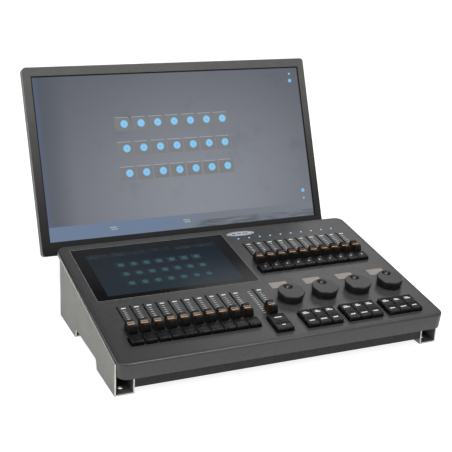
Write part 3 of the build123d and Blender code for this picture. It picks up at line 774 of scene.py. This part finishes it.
def key_marks():
    """Plain bars on the function and transport keys in place of printed words."""
    for bank, start in FUNCTION_BANK_US.items():
        body = f"{bank}_function_keys"
        marks = Piece(f"{body}_marks", WHITE_INK, body, "label_film", on_deck)
        for row, v in enumerate(FUNCTION_VS):
            for i in range(3):
                u = start + FIRST_KEY_OFFSET + i * FADER_PITCH
                half = MARK_HALVES[(i + row) % 2]
                key_bar(marks, (u - half, u + half), v, WORD_ALONG, WORD_RISE)
                if row == 1:
                    short = (u - half, u + half * SHORT_WORD_SHARE)
                    key_bar(marks, short, v, SHORT_WORD_ALONG, SHORT_WORD_RISE)
        marks.done()
    for body, v, half in TRANSPORT_MARKS:
        marks = Piece(f"{body}_mark", WHITE_INK, body, "label_film", on_deck)
        across = (TRANSPORT_U - half, TRANSPORT_U + half)
        along = (-TRANSPORT_MARK_HALF, TRANSPORT_MARK_HALF)
        key_bar(marks, across, v, along, TRANSPORT_MARK_RISE)
        marks.done()


NUMBER_SIZE = 5.2 * MM
NUMBER_THICKNESS = 0.08 * MM
NUMBER_W = KEY_FACE_W + 0.12 * MM


def key_numbers():
    """The numbers 1 to 10 on the upper row of flash keys."""
    turn = Matrix((X_AXIS, UP_SLOPE, DECK_NORMAL)).transposed().to_4x4()
    for i in range(FADERS_IN_ROW):
        curve = bpy.data.curves.new(f"upper_key_number_{i + 1:02d}", "FONT")
        curve.body = str(i + 1)
        curve.size = NUMBER_SIZE
        curve.align_x = "CENTER"
        curve.align_y = "CENTER"
        curve.extrude = NUMBER_THICKNESS
        curve.resolution_u = 3
        text = bpy.data.objects.new(curve.name, curve)
        bpy.context.scene.collection.objects.link(text)
        middle = on_deck(UPPER_FADER_U + i * FADER_PITCH, UPPER_FLASH_V, NUMBER_W)
        text.matrix_world = Matrix.Translation(middle) @ turn
        bpy.context.view_layer.update()
        graph = bpy.context.evaluated_depsgraph_get()
        data = bpy.data.meshes.new_from_object(text.evaluated_get(graph))
        data.transform(text.matrix_world)
        bpy.data.objects.remove(text)
        data.materials.clear()
        data.materials.append(WHITE_INK)
        made = bpy.data.objects.new(f"upper_key_number_{i + 1:02d}", data)
        bpy.context.scene.collection.objects.link(made)
        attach(made, "upper_flash_keys")


BADGE_U = 319.6 * MM
BADGE_V = 314 * MM
BADGE_HALF_ACROSS = 25.5 * MM
BADGE_SQUASH = 0.28
BADGE_RISE = 0.5 * MM
BADGE_SIDES = 48
BADGE_RING_OUTER = (22.5 * MM, 5.6 * MM)
BADGE_RING_INNER = (21.3 * MM, 4.8 * MM)
BADGE_INSET_LEVELS = (0.3 * MM, 0.56 * MM)
BADGE_BARS = ((-16 * MM, -9 * MM), (-7 * MM, 1 * MM), (3 * MM, 14 * MM))
BADGE_BAR_HALF = 1.3 * MM


def badge():
    """A plain silver oval plate at the rear of the deck, with a dark ring and a broken bar."""

    def badge_oval(half_across, half_along):
        return oval(BADGE_U, BADGE_V, half_across, half_along, BADGE_SIDES)

    plate = Piece("deck_badge", BADGE_SILVER, "desk", "screw_zinc", on_deck)
    plate.prism(badge_oval(BADGE_HALF_ACROSS, BADGE_HALF_ACROSS * BADGE_SQUASH), 0, BADGE_RISE)
    plate.done()
    inset = Piece("deck_badge_inset", STAND_PAINT, "desk", "stand_metal", on_deck)
    inset.band(badge_oval(*BADGE_RING_OUTER), badge_oval(*BADGE_RING_INNER), *BADGE_INSET_LEVELS)
    along = (BADGE_V - BADGE_BAR_HALF, BADGE_V + BADGE_BAR_HALF)
    for start, end in BADGE_BARS:
        inset.slab((BADGE_U + start, BADGE_U + end), along, *BADGE_INSET_LEVELS)
    inset.done()


GLASS_US = (21.1 * MM, 285.2 * MM)
GLASS_VS = (161.9 * MM, 318.8 * MM)
# Width and levels of the painted highlight round the glass opening.
HIGHLIGHT_WIDTH = 0.8 * MM
HIGHLIGHT_LEVELS = (-0.1 * MM, 0.06 * MM)


def glass_highlight():
    """Painted highlight: a pale band round the opening of the touch glass, where its edge catches
    the light.
    """
    highlight = Piece("glass_highlight", GLASS_EDGE_HIGHLIGHT, "desk", "deck_sheet", on_deck)
    outer = rectangle(
        (GLASS_US[0] - HIGHLIGHT_WIDTH, GLASS_US[1] + HIGHLIGHT_WIDTH),
        (GLASS_VS[0] - HIGHLIGHT_WIDTH, GLASS_VS[1] + HIGHLIGHT_WIDTH),
    )
    highlight.band(outer, rectangle(GLASS_US, GLASS_VS), *HIGHLIGHT_LEVELS)
    highlight.done()


ICONS_IN_ROW = 7
MONITOR_ROWS = (216 * MM, 172.7 * MM, 129 * MM)
MONITOR_FIRST_X = -99.2 * MM
MONITOR_ICON_PITCH = 31.25 * MM
MONITOR_TILE = ((-17 * MM, 11 * MM), (-12.5 * MM, 10.5 * MM))
MONITOR_CAPTION = ((-17 * MM, 8 * MM), (11.2 * MM, 12.0 * MM))
TILE_RISE = 0.04 * MM
CAPTION_RISE = 0.05 * MM
RING_DISC = (8.1 * MM, 0, 0.08 * MM, 40)
ICON_DISC = (7.0 * MM, 0, 0.12 * MM, 40)
CORE_DISC = (4.4 * MM, 0, 0.16 * MM, 32)
CENTRE_DISC = (2.9 * MM, 0, 0.20 * MM, 24)
CONTROL_X = 235.3 * MM
CONTROL_RISE = 0.1 * MM
CONTROL_SIDES = 24
CONTROLS = (
    (292.5 * MM, 2.2 * MM),
    (279.6 * MM, 3.4 * MM),
    (71.5 * MM, 3.6 * MM),
    (57 * MM, 2.0 * MM),
)
TASK_LABELS = (
    (-140 * MM, 38 * MM),
    (-138 * MM, 34.5 * MM),
    (-4 * MM, 38 * MM),
    (-2 * MM, 34.5 * MM),
)
TASK_LABEL = ((-6 * MM, 6 * MM), (-0.8 * MM, 0.8 * MM))


def shifted_slab(piece, a, b, shape, low, high):
    """A slab whose (across, along) spans are measured from the point (a, b)."""
    across, along = shape
    piece.slab((a + across[0], a + across[1]), (b + along[0], b + along[1]), low, high)


def monitor_icons():
    """Three rows of round fixture icons on grey tiles, with small controls at the right."""
    tiles = Piece("monitor_tiles", TILE_GLOW, "monitor", "display", on_screen)
    captions = Piece("monitor_captions", CAPTION_GLOW, "monitor", "display", on_screen)
    rings = Piece("monitor_icon_rings", ICON_RING, "monitor", "display", on_screen)
    icons = Piece("monitor_icons", ICON_GLOW, "monitor", "display", on_screen)
    cores = Piece("monitor_icon_cores", ICON_CORE, "monitor", "display", on_screen)
    for height in MONITOR_ROWS:
        for i in range(ICONS_IN_ROW):
            x = MONITOR_FIRST_X + i * MONITOR_ICON_PITCH
            shifted_slab(tiles, x, height, MONITOR_TILE, 0, TILE_RISE)
            shifted_slab(captions, x, height, MONITOR_CAPTION, 0, CAPTION_RISE)
            rings.disc(x, height, *RING_DISC)
            icons.disc(x, height, *ICON_DISC)
            cores.disc(x, height, *CORE_DISC)
            icons.disc(x, height, *CENTRE_DISC)
    for height, radius in CONTROLS:
        icons.disc(CONTROL_X, height, radius, 0, CONTROL_RISE, CONTROL_SIDES)
    for x, height in TASK_LABELS:
        shifted_slab(captions, x, height, TASK_LABEL, 0, CAPTION_RISE)
    for piece in (tiles, captions, rings, icons, cores):
        piece.done()


TOUCH_LIT_US = (40.1 * MM, 262.9 * MM)
TOUCH_LIT_VS = (172.9 * MM, 298.3 * MM)
TOUCH_LIT_LEVELS = (GLASS_W - 0.1 * MM, GLASS_W + 0.03 * MM)
TOUCH_ROWS = (258 * MM, 229.9 * MM, 201.9 * MM)
TOUCH_FIRST_U = 87 * MM
TOUCH_ICON_PITCH = 21.45 * MM
TOUCH_TILE = ((-9 * MM, 7.5 * MM), (-8 * MM, 8 * MM))
TOUCH_TILE_LEVELS = (GLASS_W, GLASS_W + 0.05 * MM)
TOUCH_DISC = (5.0 * MM, GLASS_W, GLASS_W + 0.08 * MM, 32)


def touch_icons():
    """The touch display's lit area with the same icons, dimmer."""
    picture = Piece("touch_display", touch_picture(), "desk", "touch_glass", on_deck)
    picture.slab(TOUCH_LIT_US, TOUCH_LIT_VS, *TOUCH_LIT_LEVELS)
    picture.done()
    tiles = Piece("touch_tiles", TOUCH_TILE_GLOW, "desk", "touch_glass", on_deck)
    dots = Piece("touch_icons", TOUCH_DOT_GLOW, "desk", "touch_glass", on_deck)
    for v in TOUCH_ROWS:
        for i in range(ICONS_IN_ROW):
            u = TOUCH_FIRST_U + i * TOUCH_ICON_PITCH
            shifted_slab(tiles, u, v, TOUCH_TILE, *TOUCH_TILE_LEVELS)
            dots.disc(u, v, *TOUCH_DISC)
    for piece in (tiles, dots):
        piece.done()


fader_lines()
scale_ticks()
deck_crease_shade()
key_marks()
key_numbers()
badge()
glass_highlight()
monitor_icons()
touch_icons()

# ---- Floor, lights and camera ------------------------------------------------------------

FLOOR_HALF = 14
FLOOR_GREYS = ((0.40, 0.40, 0.40), (0.44, 0.44, 0.44))
FLOOR_GLOWS = ((0.86, 0.86, 0.86), (1.0, 1.0, 1.0))
FLOOR_GLOW_RADII = (0.6, 2.4)


def floor():
    """A pale floor that lights itself, a little less near the desk so that shadows show."""
    shader = Shader("floor_paper", roughness=0.8, specular=0.1)
    shader.colour(shader.mix(shader.noise(0.3, 3), *FLOOR_GREYS))
    away = shader.node("ShaderNodeVectorMath", operation="LENGTH")
    shader.link(shader.coords, away.inputs[0])
    far = shader.ramp(away.outputs["Value"], *FLOOR_GLOW_RADII)
    shader.glow(shader.mix(far, *FLOOR_GLOWS), 1.0)
    mesh = bmesh.new()
    bmesh.ops.create_grid(mesh, x_segments=2, y_segments=2, size=FLOOR_HALF)
    data = bpy.data.meshes.new("floor")
    mesh.to_mesh(data)
    mesh.free()
    data.materials.append(shader.material)
    made = bpy.data.objects.new("floor", data)
    made.location.z = CAD_BOX[0][2]
    bpy.context.scene.collection.objects.link(made)


LIGHT_TARGET = Vector((0, 0, 0.1))


def area_light(name, place, size, power):
    """A rectangular light of (width, height) metres, aimed at the desk."""
    lamp = bpy.data.lights.new(name, "AREA")
    lamp.shape = "RECTANGLE"
    lamp.size, lamp.size_y = size
    lamp.energy = power
    made = bpy.data.objects.new(name, lamp)
    made.location = place
    aim = LIGHT_TARGET - Vector(place)
    made.rotation_euler = aim.to_track_quat("-Z", "Y").to_euler()
    bpy.context.scene.collection.objects.link(made)


def world_light(strength):
    """A dim even surround that is white where it is seen directly."""
    world = bpy.data.worlds.new("studio")
    world.use_nodes = True
    tree = world.node_tree
    seen = tree.nodes.new("ShaderNodeLightPath").outputs["Is Camera Ray"]
    fade = tree.nodes.new("ShaderNodeMapRange")
    fade.inputs["To Min"].default_value = strength
    fade.inputs["To Max"].default_value = 1.0
    background = tree.nodes["Background"]
    background.inputs["Color"].default_value = (1.0, 1.0, 1.0, 1.0)
    tree.links.new(seen, fade.inputs["Value"])
    tree.links.new(fade.outputs["Result"], background.inputs["Strength"])
    bpy.context.scene.world = world


CAMERA_PLACE = (-0.6289, -1.3959, 0.6660)
CAMERA_AZIMUTH = radians(-24.67)
CAMERA_ELEVATION = radians(19.24)
CAMERA_ROLL = radians(2.51)


def camera():
    """The photograph's viewpoint: from the operator's left, a little above."""
    lens = bpy.data.cameras.new("camera")
    lens.lens = 78.0
    lens.sensor_width = 36.0
    lens.clip_end = 50
    made = bpy.data.objects.new("camera", lens)
    made.matrix_world = (
        Matrix.Translation(CAMERA_PLACE)
        @ Matrix.Rotation(CAMERA_AZIMUTH, 4, "Z")
        @ Matrix.Rotation(pi / 2 - CAMERA_ELEVATION, 4, "X")
        @ Matrix.Rotation(CAMERA_ROLL, 4, "Z")
    )
    bpy.context.scene.collection.objects.link(made)
    bpy.context.scene.camera = made


floor()
world_light(0.06)
area_light("key_light", (-1.6, -1.2, 1.9), (1.6, 1.6), 34)
area_light("rear_light", (1.6, 1.9, 2.0), (1.2, 1.0), 7)
area_light("top_light", (0.4, -0.5, 2.2), (1.2, 1.0), 46)
area_light("front_light", (0.9, -2.0, 1.1), (1.6, 1.0), 8)
camera()
bpy.context.scene.view_settings.view_transform = "Standard"
